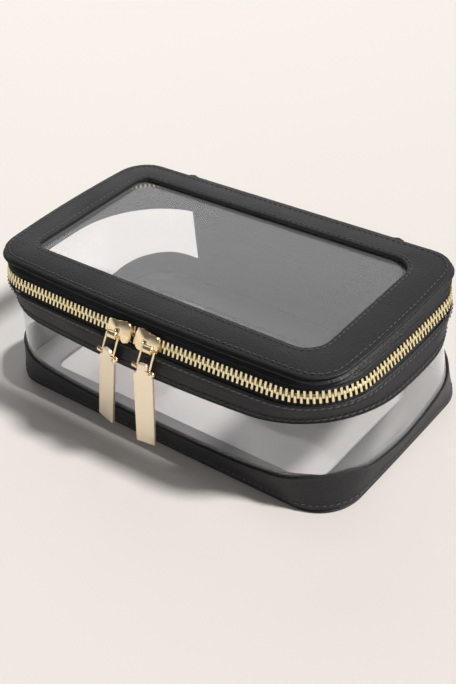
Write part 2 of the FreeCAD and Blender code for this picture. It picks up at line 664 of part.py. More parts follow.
def make_pulls():
    """Both sliders, mirror images that meet head to head, and what hangs from them."""
    tilt = size("slider_tilt")
    for side, way in (("left", -1), ("right", 1)):
        x, y, z = size(f"slider_{side}_x"), size("slider_y"), size("zip_level")
        on_chain = stood_up(x, y, z, tilt)
        make_slider(side, way, on_chain)
        make_crown(side, way, on_chain)
        eye = Vector(way * size("pull_offset"), -size("pull_drop"), size("pull_rise"))
        pivot = on_chain.multVec(eye)
        hung = stood_up(*pivot, tilt, -size("link_lean"), size(f"link_turn_{side}"))
        make_link(side, hung)
        pin_at = hung.multVec(Vector(0, -size("link_length"), 0))
        turned = Placement(pin_at, hung.Rotation)
        make_pin(side, turned)
        make_tag(side, stood_up(*pin_at, 0.0, -size(f"tag_lean_{side}"),
                                size(f"tag_turn_{side}")))
        print(f"{side}: link pivot {tuple(pivot)}, pin {tuple(pin_at)}")
        print(f"{side}: pin axis {tuple(hung.Rotation.multVec(X_AXIS))}")


NODES = [
    "lid_frame", "lid_welt", "lid_window", "lid_lining", "lid_gusset", "hinge_panel",
    "zip_tape_upper", "zip_teeth_upper", "zip_tape_lower", "zip_teeth_lower",
    "floor_welt", "floor_frame", "floor_window", "floor_lining", "clear_wall", "skirt",
    "cuff", "cuff_lining", "back_panel", "back_lining",
] + [f"{piece}_{side}" for side in ("left", "right")
     for piece in ("slider_body", "slider_crown", "pull_link", "tag_pin", "pull_tag")]


def export_all():
    doc.recompute()
    for item in doc.Objects:
        if "Invalid" in item.State or "Error" in item.State:
            raise RuntimeError(f"{item.Name} did not build: {item.State}")
    os.makedirs("parts", exist_ok=True)
    for label in NODES:
        shape = doc.getObject(label).Shape
        if shape.isNull() or not shape.isValid() or not shape.Solids:
            raise RuntimeError(f"{label} has no sound shape")
        shape.exportStep(os.path.join("parts", label + ".step"))
        box = shape.BoundBox
        print(f"{label}: {len(shape.Solids)} solids, {shape.Volume:.0f} mm3, "
              f"x {box.XMin:.1f}..{box.XMax:.1f} y {box.YMin:.1f}..{box.YMax:.1f} "
              f"z {box.ZMin:.1f}..{box.ZMax:.1f}")


make_lid()
make_floor()
make_clear_wall()
make_skirt()
make_upper_bands()
make_tapes()
make_teeth()
make_pulls()
export_all()
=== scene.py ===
"""Looks for the clear makeup bag: leather, clear sheet, zip tape, stitching and gold metal."""
import json
import math

import bpy
import numpy as np
from mathutils import Matrix, Vector


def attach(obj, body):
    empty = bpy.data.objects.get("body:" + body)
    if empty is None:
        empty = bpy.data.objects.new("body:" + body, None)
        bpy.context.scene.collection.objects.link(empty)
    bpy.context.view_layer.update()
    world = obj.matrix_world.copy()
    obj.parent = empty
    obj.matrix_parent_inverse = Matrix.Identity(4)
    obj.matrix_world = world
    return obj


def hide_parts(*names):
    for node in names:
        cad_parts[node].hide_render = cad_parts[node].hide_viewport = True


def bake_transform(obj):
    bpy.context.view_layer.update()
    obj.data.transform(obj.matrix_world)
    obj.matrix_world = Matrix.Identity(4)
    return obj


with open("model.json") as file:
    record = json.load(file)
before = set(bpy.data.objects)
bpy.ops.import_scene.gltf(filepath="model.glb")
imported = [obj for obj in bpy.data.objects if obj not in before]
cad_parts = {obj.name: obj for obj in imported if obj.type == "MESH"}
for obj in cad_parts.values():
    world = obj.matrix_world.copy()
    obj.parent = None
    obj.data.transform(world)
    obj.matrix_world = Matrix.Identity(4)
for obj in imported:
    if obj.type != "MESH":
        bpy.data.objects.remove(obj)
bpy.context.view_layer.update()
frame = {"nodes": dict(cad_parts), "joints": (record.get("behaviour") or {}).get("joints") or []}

MM = 0.001
rng = np.random.default_rng(7)


# The shell's outline at each height ----------------------------------------------------------
# Each row is height, half length, half depth, corner radius, bow of each side, flat back, in mm.
# The halves reach the middle of a bowed side.

LOWER = np.array([
    (0.0, 110.3, 62.7, 21.5, 0.5, 62.7),
    (52.5, 117.6, 69.7, 54.0, 7.5, 62.7),
    (64.0, 115.1, 67.2, 37.0, 4.2, 62.7),
])
UPPER = np.array([
    (64.0, 114.4, 66.6, 35.0, 3.9, 62.1),
    (72.4, 112.0, 62.5, 30.0, 2.5, 61.3),
    (76.2, 109.6, 60.5, 17.0, 3.0, 58.9),
    (80.0, 109.6, 60.5, 17.0, 3.0, 58.9),
])
BACK_HALF = 71.3
# The window's half length, half depth and corner radius; its left corners are sharper
WINDOW = (90.5, 43.3, 12.0)
WINDOW_LEFT_CORNER = 7.0
LID_TOP = 79.1
LID_RIM_LEVEL = 78.0
LID_RISE = 1.3
ZIP_LEVEL = 68.5
# The back's leather goes over from the base to the lid between these two points, in metres
HINGE_BENDS_FROM, HINGE_BENDS_TO = (0, 0.0629, 0.0654), (0, 0.0629, 0.0722)


def arc(centre, radius, start, end, count):
    """Points and outward normals along an arc, without its last point."""
    angles = np.linspace(start, end, count, endpoint=False)
    normals = np.stack([np.cos(angles), np.sin(angles)], axis=1)
    return np.array(centre) + radius * normals, normals


def straight(start, end, count):
    """Points and outward normals along a straight stretch, without its last point."""
    share = np.linspace(0, 1, count, endpoint=False)[:, None]
    points = np.array(start) * (1 - share) + np.array(end) * share
    along = np.array(end, float) - np.array(start)
    normal = np.array([along[1], -along[0]]) / np.linalg.norm(along)
    return points, np.repeat(normal[None], count, axis=0)


# How many points each stretch of an outline has
STUB, CORNER, SIDE, FRONT, REAR = 3, 14, 26, 64, 40
OPEN_COUNT = 2 * STUB + 4 * CORNER + 2 * SIDE + FRONT + 1


def outline(half_x, half_y, corner, crown, back):
    """The outline from the back's left end round the front to its right end, then along the back."""
    straight_x, straight_y = half_x - crown, half_y - crown
    front_radius = (straight_x ** 2 + crown ** 2) / (2 * crown)
    side_radius = (straight_y ** 2 + crown ** 2) / (2 * crown)
    front_centre = np.array([0, front_radius - half_y])
    right_centre = np.array([half_x - side_radius, 0])
    reach_front, reach_side = front_radius - corner, side_radius - corner
    offset = right_centre - front_centre
    apart = np.hypot(*offset)
    along = (reach_front ** 2 - reach_side ** 2 + apart ** 2) / (2 * apart)
    across = math.sqrt(reach_front ** 2 - along ** 2)
    step = offset / apart
    sides = [front_centre + along * step + sign * across * np.array([-step[1], step[0]])
             for sign in (-1, 1)]
    corner_at = min(sides, key=lambda point: point[1])
    rear_y = back - corner
    rear_x = right_centre[0] + math.sqrt(reach_side ** 2 - rear_y ** 2)

    def turn(centre, point):
        return math.atan2(point[1] - centre[1], point[0] - centre[0])

    on_front = turn(front_centre, corner_at)
    on_side = turn(right_centre, corner_at)
    on_rear = turn(right_centre, (rear_x, rear_y))
    left_centre = -right_centre * np.array([1, 0])
    left_corner = corner_at * np.array([-1, 1])
    pi = math.pi
    runs = [
        straight((-BACK_HALF, back), (-rear_x, back), STUB),
        arc((-rear_x, rear_y), corner, pi / 2, pi - on_rear, CORNER),
        arc(left_centre, side_radius, pi - on_rear, pi - on_side, SIDE),
        arc(left_corner, corner, pi - on_side, pi - on_front, CORNER),
        arc(front_centre, front_radius, -pi - on_front, on_front, FRONT),
        arc(corner_at, corner, on_front, on_side, CORNER),
        arc(right_centre, side_radius, on_side, on_rear, SIDE),
        arc((rear_x, rear_y), corner, on_rear, pi / 2, CORNER),
        straight((rear_x, back), (BACK_HALF, back), STUB),
        straight((BACK_HALF, back), (-BACK_HALF, back), REAR),
    ]
    points = np.concatenate([run[0] for run in runs])
    normals = np.concatenate([run[1] for run in runs])
    stub_ends = list(range(STUB)) + list(range(len(points) - REAR - STUB, len(points)))
    normals[stub_ends] = (0, 1)
    return points, normals


class Shell:
    """The outline at any height between the given levels, kept every millimetre."""

    def __init__(self, levels):
        self.heights = np.arange(levels[0, 0], levels[-1, 0] + 0.5, 1.0)
        rows = [outline(*(np.interp(z, levels[:, 0], levels[:, i]) for i in range(1, 6)))
                for z in self.heights]
        self.points = np.array([row[0] for row in rows])
        self.normals = np.array([row[1] for row in rows])

    def at(self, z, out=0.0, stations=slice(None)):
        """Points in metres at height z and that far out from the shell. Both may vary by station."""
        count = self.points.shape[1]
        z = np.broadcast_to(z, count).astype(float)
        out = np.broadcast_to(out, count).astype(float)
        place = np.clip((z - self.heights[0]), 0, len(self.heights) - 1.001)
        low = place.astype(int)
        share = (place - low)[:, None]
        each = np.arange(count)
        flat = self.points[low, each] * (1 - share) + self.points[low + 1, each] * share
        normal = self.normals[low, each] * (1 - share) + self.normals[low + 1, each] * share
        flat = flat + normal * out[:, None]
        return (np.column_stack([flat, z]) * MM)[stations]


lower = Shell(LOWER)
upper = Shell(UPPER)
ROUND = slice(None)
OPEN = slice(0, OPEN_COUNT)


def window_outline(grow=0.0):
    """The window's rounded rectangle, sharper at its left end, with a point for each station."""
    half_x, half_y, right = (value + grow for value in WINDOW)
    left = WINDOW_LEFT_CORNER + grow
    inner_y, reach = half_y - right, half_x - right
    left_y, left_reach = half_y - left, half_x - left
    pi = math.pi
    runs = [
        straight((-left_reach * 0.9, half_y), (-left_reach, half_y), STUB),
        arc((-left_reach, left_y), left, pi / 2, pi, CORNER),
        straight((-half_x, left_y), (-half_x, -left_y), SIDE),
        arc((-left_reach, -left_y), left, pi, 1.5 * pi, CORNER),
        straight((-left_reach, -half_y), (reach, -half_y), FRONT),
        arc((reach, -inner_y), right, -pi / 2, 0, CORNER),
        straight((half_x, -inner_y), (half_x, inner_y), SIDE),
        arc((reach, inner_y), right, 0, pi / 2, CORNER),
        straight((reach, half_y), (reach * 0.9, half_y), STUB),
        straight((reach * 0.9, half_y), (-left_reach * 0.9, half_y), REAR),
    ]
    return np.concatenate([run[0] for run in runs])


def level(points, z):
    """The same points, all at height z."""
    return points * (1, 1, 0) + (0, 0, z * MM)


def window_at(z, grow=0.0):
    """The window's outline in metres at height z."""
    flat = window_outline(grow)
    return np.column_stack([flat, np.full(len(flat), z)]) * MM


# Meshes ----------------------------------------------------------------------------------------

def make_object(name, vertices, faces, material, smooth=True):
    """A mesh object in the scene with one material."""
    mesh = bpy.data.meshes.new(name)
    mesh.from_pydata([tuple(v) for v in vertices], [], faces)
    mesh.update()
    mesh.validate()
    if smooth:
        mesh.polygons.foreach_set("use_smooth", [True] * len(mesh.polygons))
    piece = bpy.data.objects.new(name, mesh)
    bpy.context.scene.collection.objects.link(piece)
    piece.data.materials.append(material)
    return piece


def tube_mesh(name, rows, material, closed=True):
    """A closed skin over rows of points: the rows run round the section, the points along it."""
    rows = np.array(rows)
    count, stations = rows.shape[:2]
    faces = []
    spans = stations if closed else stations - 1
    for row in range(count):
        following = (row + 1) % count
        for i in range(spans):
            j = (i + 1) % stations
            faces.append((row * stations + i, row * stations + j,
                          following * stations + j, following * stations + i))
    if not closed:
        faces.append([row * stations for row in range(count)])
        faces.append([row * stations + stations - 1 for row in reversed(range(count))])
    piece = make_object(name, rows.reshape(-1, 3), faces, material)
    face_outwards(piece)
    return piece


def face_outwards(piece):
    """Turn the mesh inside out if its faces look inwards."""
    mesh = piece.data
    volume = 0.0
    coordinates = np.array([vertex.co for vertex in mesh.vertices])
    for polygon in mesh.polygons:
        corners = coordinates[list(polygon.vertices)]
        for i in range(1, len(corners) - 1):
            volume += np.dot(corners[0], np.cross(corners[i], corners[i + 1]))
    if volume < 0:
        mesh.flip_normals()


def slab(z_low, z_high, out_low, out_high, radius, step=3.0):
    """A rounded rectangular section as (height, out) pairs, with points along its faces."""
    centres = [(z_high - radius, out_high - radius, 0), (z_high - radius, out_low + radius, 90),
               (z_low + radius, out_low + radius, 180), (z_low + radius, out_high - radius, 270)]
    points = []
    for z, out, start in centres:
        for angle in np.radians(np.linspace(start, start + 90, 4)):
            points.append((z + radius * math.cos(angle), out + radius * math.sin(angle)))
    points = [(z, out_low + out_high - out) for z, out in points]
    filled = []
    for (z0, out0), (z1, out1) in zip(points, points[1:] + points[:1]):
        parts = max(1, int(math.hypot(z1 - z0, out1 - out0) / step))
        for part in range(parts):
            share = part / parts
            filled.append((z0 + (z1 - z0) * share, out0 + (out1 - out0) * share))
    return filled


def band(name, shell, section, material, stations=ROUND):
    """A strip that follows the shell with the given section."""
    rows = [shell.at(z, out, stations) for z, out in section]
    return tube_mesh(name, rows, material, closed=stations == ROUND)


def finish_piece(piece, body, slot, *nodes):
    """Attach the piece to its body, or only bake its place if it is given two bodies, and hide the
    nodes it replaces; the slot is not used.
    """
    if isinstance(body, tuple):
        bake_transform(piece)
    else:
        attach(piece, body)
    if nodes:
        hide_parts(*nodes)
    return piece


# Materials ---------------------------------------------------------------------------------------

def new_material(name):
    """A new material with its nodes, links and shader."""
    material = bpy.data.materials.new(name)
    material.use_nodes = True
    nodes = material.node_tree.nodes
    return material, nodes, material.node_tree.links, nodes["Principled BSDF"]


def node(nodes, kind, **values):
    """A new node with the given properties and input values."""
    item = nodes.new(kind)
    for key, value in values.items():
        if hasattr(item, key):
            setattr(item, key, value)
        else:
            item.inputs[key.replace("_", " ")].default_value = value
    return item


def ramp(nodes, links, factor, low, high, low_value, high_value):
    """The factor's range from low to high stretched to the two values."""
    item = nodes.new("ShaderNodeMapRange")
    for key, value in zip(("From Min", "From Max", "To Min", "To Max"),
                          (low, high, low_value, high_value)):
        item.inputs[key].default_value = value
    links.new(factor, item.inputs["Value"])
    return item.outputs["Result"]


def calculate(nodes, links, operation, *values, clamp=False):
    """A sum on numbers or on other nodes' outputs."""
    item = nodes.new("ShaderNodeMath")
    item.operation = operation
    item.use_clamp = clamp
    for socket, value in zip(item.inputs, values):
        if isinstance(value, bpy.types.NodeSocket):
            links.new(value, socket)
        else:
            socket.default_value = value
    return item.outputs[0]


def relief_from(nodes, links, shader, height, strength, distance):
    """Use the height as the shader's relief, so many mm deep."""
    bump = node(nodes, "ShaderNodeBump", Strength=strength, Distance=distance * MM)
    links.new(height, bump.inputs["Height"])
    links.new(bump.outputs["Normal"], shader.inputs["Normal"])


def mixed_colour(nodes, links, factor, first, second):
    """A colour between the first and the second."""
    item = nodes.new("ShaderNodeMix")
    item.data_type = "RGBA"
    item.inputs["A"].default_value = (*first, 1)
    item.inputs["B"].default_value = (*second, 1)
    links.new(factor, item.inputs["Factor"])
    return item.outputs["Result"]


def leather(name, dark, light, cell=0.9, relief=0.10, rough=(0.42, 0.6)):
    """Faux leather: fine pressed pebbles, shallow creases, slow unevenness, and sharp edges painted
    paler as a highlight where they catch the light.
    """
    material, nodes, links, shader = new_material(name)
    place = nodes.new("ShaderNodeTexCoord").outputs["Object"]
    pebbles = node(nodes, "ShaderNodeTexVoronoi", Scale=1 / (cell * MM))
    pebbles.feature = "SMOOTH_F1"
    pebbles.inputs["Smoothness"].default_value = 0.6
    fine = node(nodes, "ShaderNodeTexNoise", Scale=2.2 / (cell * MM), Detail=3.0)
    slow = node(nodes, "ShaderNodeTexNoise", Scale=1 / (26 * MM), Detail=2.0)
    for texture in (pebbles, fine, slow):
        links.new(place, texture.inputs["Vector"])
    creases = node(nodes, "ShaderNodeTexNoise", Scale=1 / (9 * MM), Detail=4.0)
    stretch = nodes.new("ShaderNodeMapping")
    stretch.inputs["Scale"].default_value = (0.25, 0.25, 1.6)
    links.new(place, stretch.inputs["Vector"])
    links.new(stretch.outputs["Vector"], creases.inputs["Vector"])
    creased = calculate(nodes, links, "MULTIPLY_ADD", creases.outputs["Fac"], 3.6,
                        pebbles.outputs["Distance"])
    height = calculate(nodes, links, "MULTIPLY_ADD", fine.outputs["Fac"], 0.35, creased)
    relief_from(nodes, links, shader, height, 0.75, relief)
    # Sharp edges are painted paler: a painted highlight for the light that catches them
    edge_sharpness = nodes.new("ShaderNodeNewGeometry").outputs["Pointiness"]
    edge = ramp(nodes, links, edge_sharpness, 0.52, 0.62, 0.0, 0.5)
    unevenness_and_edge_highlight = calculate(nodes, links, "MULTIPLY_ADD", slow.outputs["Fac"], 0.6, edge, clamp=True)
    links.new(mixed_colour(nodes, links, unevenness_and_edge_highlight, dark, light), shader.inputs["Base Color"])
    links.new(ramp(nodes, links, slow.outputs["Fac"], 0.25, 0.75, *rough),
              shader.inputs["Roughness"])
    shader.inputs["Specular IOR Level"].default_value = 0.38
    return material


def woven(name, dark, light, thread=0.55):
    """Woven threads, slanting ones crossed by level ones."""
    material, nodes, links, shader = new_material(name)
    place = nodes.new("ShaderNodeTexCoord").outputs["Object"]
    heights = []
    for direction in ("DIAGONAL", "Z"):
        wave = node(nodes, "ShaderNodeTexWave", Scale=0.32 / (thread * MM), Distortion=1.2)
        wave.wave_type = "BANDS"
        wave.bands_direction = direction
        wave.inputs["Detail Scale"].default_value = 2.0
        links.new(place, wave.inputs["Vector"])
        heights.append(wave.outputs["Fac"])
    crossing = calculate(nodes, links, "MULTIPLY", *heights)
    relief_from(nodes, links, shader, crossing, 0.6, 0.12)
    links.new(mixed_colour(nodes, links, crossing, dark, light), shader.inputs["Base Color"])
    shader.inputs["Roughness"].default_value = 0.85
    shader.inputs["Sheen Weight"].default_value = 0.15
    return material


def gold(name, colour, rough=(0.16, 0.3), scratch=0.02):
    """Plated metal with a slight unevenness in tone, gloss and level."""
    material, nodes, links, shader = new_material(name)
    place = nodes.new("ShaderNodeTexCoord").outputs["Object"]
    cloud = node(nodes, "ShaderNodeTexNoise", Scale=1 / (5 * MM), Detail=3.0)
    grain = node(nodes, "ShaderNodeTexNoise", Scale=1 / (0.5 * MM), Detail=2.0)
    for texture in (cloud, grain):
        links.new(place, texture.inputs["Vector"])
    paler = tuple(min(1.0, value * 1.06) for value in colour)
    links.new(mixed_colour(nodes, links, cloud.outputs["Fac"], colour, paler),
              shader.inputs["Base Color"])
    links.new(ramp(nodes, links, cloud.outputs["Fac"], 0.3, 0.7, *rough),
              shader.inputs["Roughness"])
    relief_from(nodes, links, shader, grain.outputs["Fac"], 0.3, scratch)
    shader.inputs["Metallic"].default_value = 1.0
    return material


def clear_sheet(name, cloudy):
    """Flexible clear sheet: see-through and a little cloudy, glossier the more aslant it is seen."""
    material, nodes, links, shader = new_material(name)
    place = nodes.new("ShaderNodeTexCoord").outputs["Object"]
    ripple = node(nodes, "ShaderNodeTexNoise", Scale=1 / (45 * MM), Detail=1.0)
    links.new(place, ripple.inputs["Vector"])
    relief_from(nodes, links, shader, ripple.outputs["Fac"], 0.5, 1.2)
    shader.inputs["Base Color"].default_value = (0.95, 0.95, 0.97, 1)
    shader.inputs["Metallic"].default_value = 0.4
    shader.inputs["Roughness"].default_value = 0.06
    see = nodes.new("ShaderNodeBsdfTransparent")
    see.inputs["Color"].default_value = (0.995, 0.995, 1.0, 1)
    aslant = node(nodes, "ShaderNodeLayerWeight", Blend=0.5)
    steep = calculate(nodes, links, "POWER", aslant.outputs["Facing"], 5.0)
    mirror = ramp(nodes, links, steep, 0.0, 1.0, cloudy, 1.0)
    mix = nodes.new("ShaderNodeMixShader")
    for socket, output in zip(mix.inputs, (mirror, see.outputs[0], shader.outputs[0])):
        links.new(output, socket)
    links.new(mix.outputs[0], nodes["Material Output"].inputs["Surface"])
    return material


BLACK = leather("black_leather", (0.009, 0.009, 0.0105), (0.022, 0.0215, 0.025), relief=0.24)
GRAINED = leather("grained_leather", (0.008, 0.008, 0.0095), (0.018, 0.018, 0.0215),
                  cell=0.6, relief=0.28, rough=(0.45, 0.62))
LINING = leather("lining", (0.17, 0.17, 0.175), (0.22, 0.22, 0.225), cell=0.7, relief=0.05,
                 rough=(0.6, 0.75))
TAPE = woven("zip_tape", (0.008, 0.008, 0.009), (0.03, 0.03, 0.032))
# The thread is dark grey; its paler weave is partly a painted highlight, standing in for glints on
# the stitches
THREAD_PAINTED_PALER = woven("thread", (0.04, 0.04, 0.043), (0.18, 0.18, 0.19), thread=0.3)
TEETH = gold("gold_teeth", (0.92, 0.80, 0.50), rough=(0.24, 0.36))
METAL = gold("gold_metal", (1.0, 0.79, 0.52))
# The tags' gold is paler than the other metal: painted light standing in for the bright floor the
# tags reflect
TAG_GOLD_PAINTED_PALER = gold("gold_tag_painted_paler", (1.0, 0.85, 0.68), rough=(0.42, 0.54), scratch=0.008)
CLEAR = clear_sheet("clear_sheet", 0.075)
CLEAR_WALL = clear_sheet("clear_wall_sheet", 0.09)


# Leather and clear pieces -------------------------------------------------------------------------

def lid_ring(name, material, top, thick, rim, edge, rise=0.0, crown=0.0):
    """A ring from the lid's outline to the window, rounded at both edges and a little padded."""
    outer = [(-thick + edge, 0.0), (-thick + 0.35 * edge, 0.0), (-edge, 0.0),
             (-0.3 * edge, -0.3 * edge), (0.0, -edge)]
    rows = [level(upper.at(LID_RIM_LEVEL, rim + out), top + drop) for drop, out in outer]
    outer_in = level(upper.at(LID_RIM_LEVEL, rim - 2.0), 0)
    inner_out = level(window_at(0.0, 3.0), 0)
    for share in np.linspace(0, 1, 9):
        lift = rise * share + crown * math.sin(math.pi * share) ** 0.6 * (0 < share < 1)
        rows.append(outer_in * (1 - share) + inner_out * share + (0, 0, (top + lift) * MM))
    brim = top + rise
    for grow, drop in ((2.0, 0.0), (1.2, 0.0), (edge, 0.0), (0.3 * edge, -0.3 * edge),
                       (0.0, -edge)):
        rows.append(window_at(brim + drop, grow))
    for grow, height in ((0.0, top - thick + edge), (0.3 * edge, top - thick + 0.3 * edge),
                         (edge, top - thick)):
        rows.append(window_at(height, grow))
    rows.append(level(upper.at(LID_RIM_LEVEL, rim - edge), top - thick))
    return tube_mesh(name, rows, material)


def clear_panel(name, z, thickness, material, sag=0.0, wave=0.0):
    """A flat sheet a little larger than the window, hanging and waving slightly within it."""
    under_the_ring = 5.5
    half_x, half_y = WINDOW[0] + under_the_ring, WINDOW[1] + under_the_ring
    across, deep = 61, 33
    grid_x, grid_y = np.meshgrid(np.linspace(-1, 1, across), np.linspace(-1, 1, deep))
    free = np.clip(1.06 * (1 - grid_x ** 6), 0, 1) * np.clip(1.06 * (1 - grid_y ** 4), 0, 1)
    ripple = (np.sin(2.3 * grid_x + 1.7 * grid_y + 0.4) + 0.6 * np.sin(4.1 * grid_x - 2.6 * grid_y)
              + 0.5 * np.sin(3.4 * grid_y + 1.1))
    height = z - sag * (1 - grid_x ** 2) * (1 - grid_y ** 2) + wave * free * ripple
    upper_face = np.column_stack([grid_x.ravel() * half_x, grid_y.ravel() * half_y,
                                  height.ravel()]) * MM
    lower_face = upper_face - (0, 0, thickness * MM)
    count = across * deep
    faces = []
    for row in range(deep - 1):
        for column in range(across - 1):
            first = row * across + column
            quad = (first, first + 1, first + 1 + across, first + across)
            faces.append(quad)
            faces.append([count + i for i in reversed(quad)])
    rim = (list(range(across)) + [row * across + across - 1 for row in range(1, deep)]
           + [(deep - 1) * across + column for column in reversed(range(across - 1))]
           + [row * across for row in reversed(range(1, deep - 1))])
    for here, after in zip(rim, rim[1:] + rim[:1]):
        faces.append((after, here, count + here, count + after))
    return make_object(name, np.vstack([upper_face, lower_face]), faces, material)


def make_lid():
    """The lid's leather, its welt, its window, the lining under it and the gusset below."""
    top = lid_ring("lid_top_leather", BLACK, LID_TOP, 1.2, 0.6, 0.45, LID_RISE, crown=0.4)
    finish_piece(top, "lid", "black_leather", "lid_frame")
    welt = band("lid_edge_welt", upper, slab(75.9, 77.7, -1.3, 1.75, 0.85), BLACK)
    finish_piece(welt, "lid", "black_leather", "lid_welt")
    window = clear_panel("lid_window_sheet", 77.75, 0.4, CLEAR, sag=0.6, wave=0.12)
    finish_piece(window, "lid", "clear_pvc", "lid_window")
    under = lid_ring("lid_underside_lining", BLACK, 77.2, 0.6, -1.6, 0.2)
    finish_piece(under, "lid", "lining_leather", "lid_lining")
    gusset = band("lid_side_gusset", upper, slab(73.4, 76.0, 0.3, 1.0, 0.3), GRAINED, OPEN)
    finish_piece(gusset, "lid", "black_leather", "lid_gusset")


def make_floor():
    """The foot's welt, the floor's leather frame, its window and the lining ring over it."""
    welt = band("foot_welt", lower, slab(0.0, 2.6, -1.2, 1.3, 1.1), BLACK)
    finish_piece(welt, "base", "black_leather", "floor_welt")
    rim = lower.at(2.0, -1.3)
    for name, low, high, material, slot, cad_node in (
            ("floor_leather", 0.6, 1.8, BLACK, "black_leather", "floor_frame"),
            ("floor_lining_ring", 2.5, 3.1, LINING, "lining_leather", "floor_lining")):
        rows = [level(rim, high), floor_hole(high), floor_hole(low), level(rim, low)]
        ring = tube_mesh(name, rows, material)
        finish_piece(ring, "base", slot, cad_node)
    sheet = clear_panel("floor_window_sheet", 2.35, 0.4, CLEAR_WALL, wave=0.04)
    finish_piece(sheet, "base", "clear_pvc", "floor_window")


def floor_hole(z):
    """The floor's window, cut a little nearer to the front than the lid's."""
    points = window_at(z)
    in_front = points[:, 1] < 0
    points[in_front, 1] *= 1.09
    return points


def skirt_top(points):
    """The skirt's height in mm at each station: low along the sides, rising to the corners."""
    x, y = np.abs(points[:, 0]) / MM, points[:, 1] / MM
    along_front = 13.8 + 7.0 * (np.minimum(x, 95) / 95) ** 4
    before = 12.0 + 9.5 * (np.clip(-y, 0, 45) / 45) ** 1.75
    across = np.clip(points[:, 0] / MM / BACK_HALF, -1, 1)
    behind = 12.0 + (10.5 + 4.5 * across) * (np.clip(y, 0, 60) / 60) ** 1.6
    on_side = np.clip((x - 94) / 13, 0, 1)
    return np.where(y > 0, behind, along_front * (1 - on_side) + before * on_side)


def make_skirt():
    """The outer band over the foot of the wall, and a thinner one behind it that shows above."""
    stations = lower.at(20.0)
    top = skirt_top(stations)
    foot, swell_end, inner_foot = 2.4, 5.2, 3.2
    section = [(foot, 1.3), (3.2, 1.45), (4.4, 1.45), (4.9, 1.2)]
    section += [(swell_end + (top - 0.9 - swell_end) * share, 1.25)
                for share in np.linspace(0, 1, 9)]
    section += [(top - 0.7, 1.38), (top - 0.3, 1.4), (top, 1.2), (top, 0.5), (top - 0.2, 0.15)]
    section += [(foot + (top - 0.5 - foot) * share, 0.12) for share in np.linspace(1, 0, 6)]
    skirt = band("skirt_leather", lower, section, BLACK)
    finish_piece(skirt, "base", "black_leather", "skirt")
    flat = stations / MM
    in_corner = np.clip((np.abs(flat[:, 0]) - 88) / 12, 0, 1) * (flat[:, 1] < -30)
    inner_top = top + 2.0 * (1 - in_corner) - 0.6 * in_corner
    section = [(inner_foot + (inner_top - 0.3 - inner_foot) * share, -0.62)
               for share in np.linspace(0, 1, 7)]
    section += [(inner_top, -0.75), (inner_top, -1.1)]
    section += [(inner_foot + (inner_top - 0.2 - inner_foot) * share, -1.22)
                for share in np.linspace(1, 0, 7)]
    inner = band("skirt_inner_lining", lower, section, BLACK)
    finish_piece(inner, "base", "black_leather")


def make_wall():
    """The clear wall, from under the skirt to behind the cuff."""
    section = slab(2.4, 60.0, -0.45, 0.0, 0.1, step=2.0)
    wall = band("wall_sheet", lower, section, CLEAR_WALL, OPEN)
    finish_piece(wall, "base", "clear_pvc", "clear_wall")


def make_upper_bands():
    """The cuff, grooved beside its seams and swollen at its foot, and the binding behind it."""
    grooves_at = (53.2, 55.4, 61.4)
    section = []
    for z, out in slab(51.9, 64.0, 0.1, 1.45, 0.4, step=0.6):
        grooves = sum(math.exp(-((z - middle) / 0.45) ** 2) for middle in grooves_at)
        swell = 0.3 * math.exp(-((z - 52.6) / 0.7) ** 2)
        section.append((z, out + (swell - 0.3 * grooves if out > 1.0 else 0)))
    cuff = band("cuff_leather", lower, section, BLACK, OPEN)
    finish_piece(cuff, "base", "black_leather", "cuff")
    inner = band("cuff_binding", lower, slab(53.5, 63.2, -1.8, -1.2, 0.2, step=2), BLACK, OPEN)
    finish_piece(inner, "base", "lining_leather", "cuff_lining")


def make_back():
    """The flat back and, above it, the folded strip that hinges the lid."""
    section = [(62.75, z) for z in np.linspace(2.4, 60, 13)]
    section += [(62.75 + 0.5 * share, 60 + 4 * share) for share in (0.3, 0.7, 1.0)]
    section += [(63.25, z) for z in np.linspace(65, 76.0, 16)]
    section += [(63.1, 76.6), (62.7, 77.0), (62.1, 77.2), (61.2, 77.2), (60.6, 77.0)]
    section += [(60.7, z) for z in np.linspace(76.4, 69.5, 9)]
    section += [(61.55, z) for z in np.linspace(68, 2.4, 14)]
    columns = np.linspace(-BACK_HALF, BACK_HALF, 48)
    near_ends = np.exp(-((np.abs(columns) - BACK_HALF + 2.2) / 1.5) ** 2)
    rows = []
    for y, z in section:
        swell = near_ends * 0.9 * (z > 70) * (y > 61.8)
        rows.append(np.column_stack([columns, y + swell, z + 0.6 * swell]) * MM)
    piece = tube_mesh("back_leather", rows, BLACK, closed=False)
    finish_piece(piece, ("base", "lid", HINGE_BENDS_FROM, HINGE_BENDS_TO),
                 "black_leather", "back_panel", "hinge_panel")
    section = [(61.4, 4.0), (61.4, 36.0), (61.4, 68.0), (60.8, 68.0), (60.8, 36.0), (60.8, 4.0)]
    rows = np.array([[(x, y, z) for x in columns] for y, z in section]) * MM
    lining = tube_mesh("back_lining_sheet", rows, BLACK, closed=False)
    finish_piece(lining, "base", "lining_leather", "back_lining")


def make_tapes():
    """The zip's two tapes."""
    for name, low, high, body in (("lower", 64.0, 67.3, "base"), ("upper", 69.7, 75.0, "lid")):
        section = slab(low, high, -0.25, 0.25, 0.1)
        tape = band(f"zip_tape_{name}_cloth", upper, section, TAPE, OPEN)
        finish_piece(tape, body, "zip_tape", f"zip_tape_{name}")


# Stitching ----------------------------------------------------------------------------------------

STITCH_PITCH, STITCH_LENGTH, STITCH_RADIUS, STITCH_SLANT = 3.4, 2.7, 0.3, 0.12
STITCH_RINGS, STITCH_SIDES = 5, 6


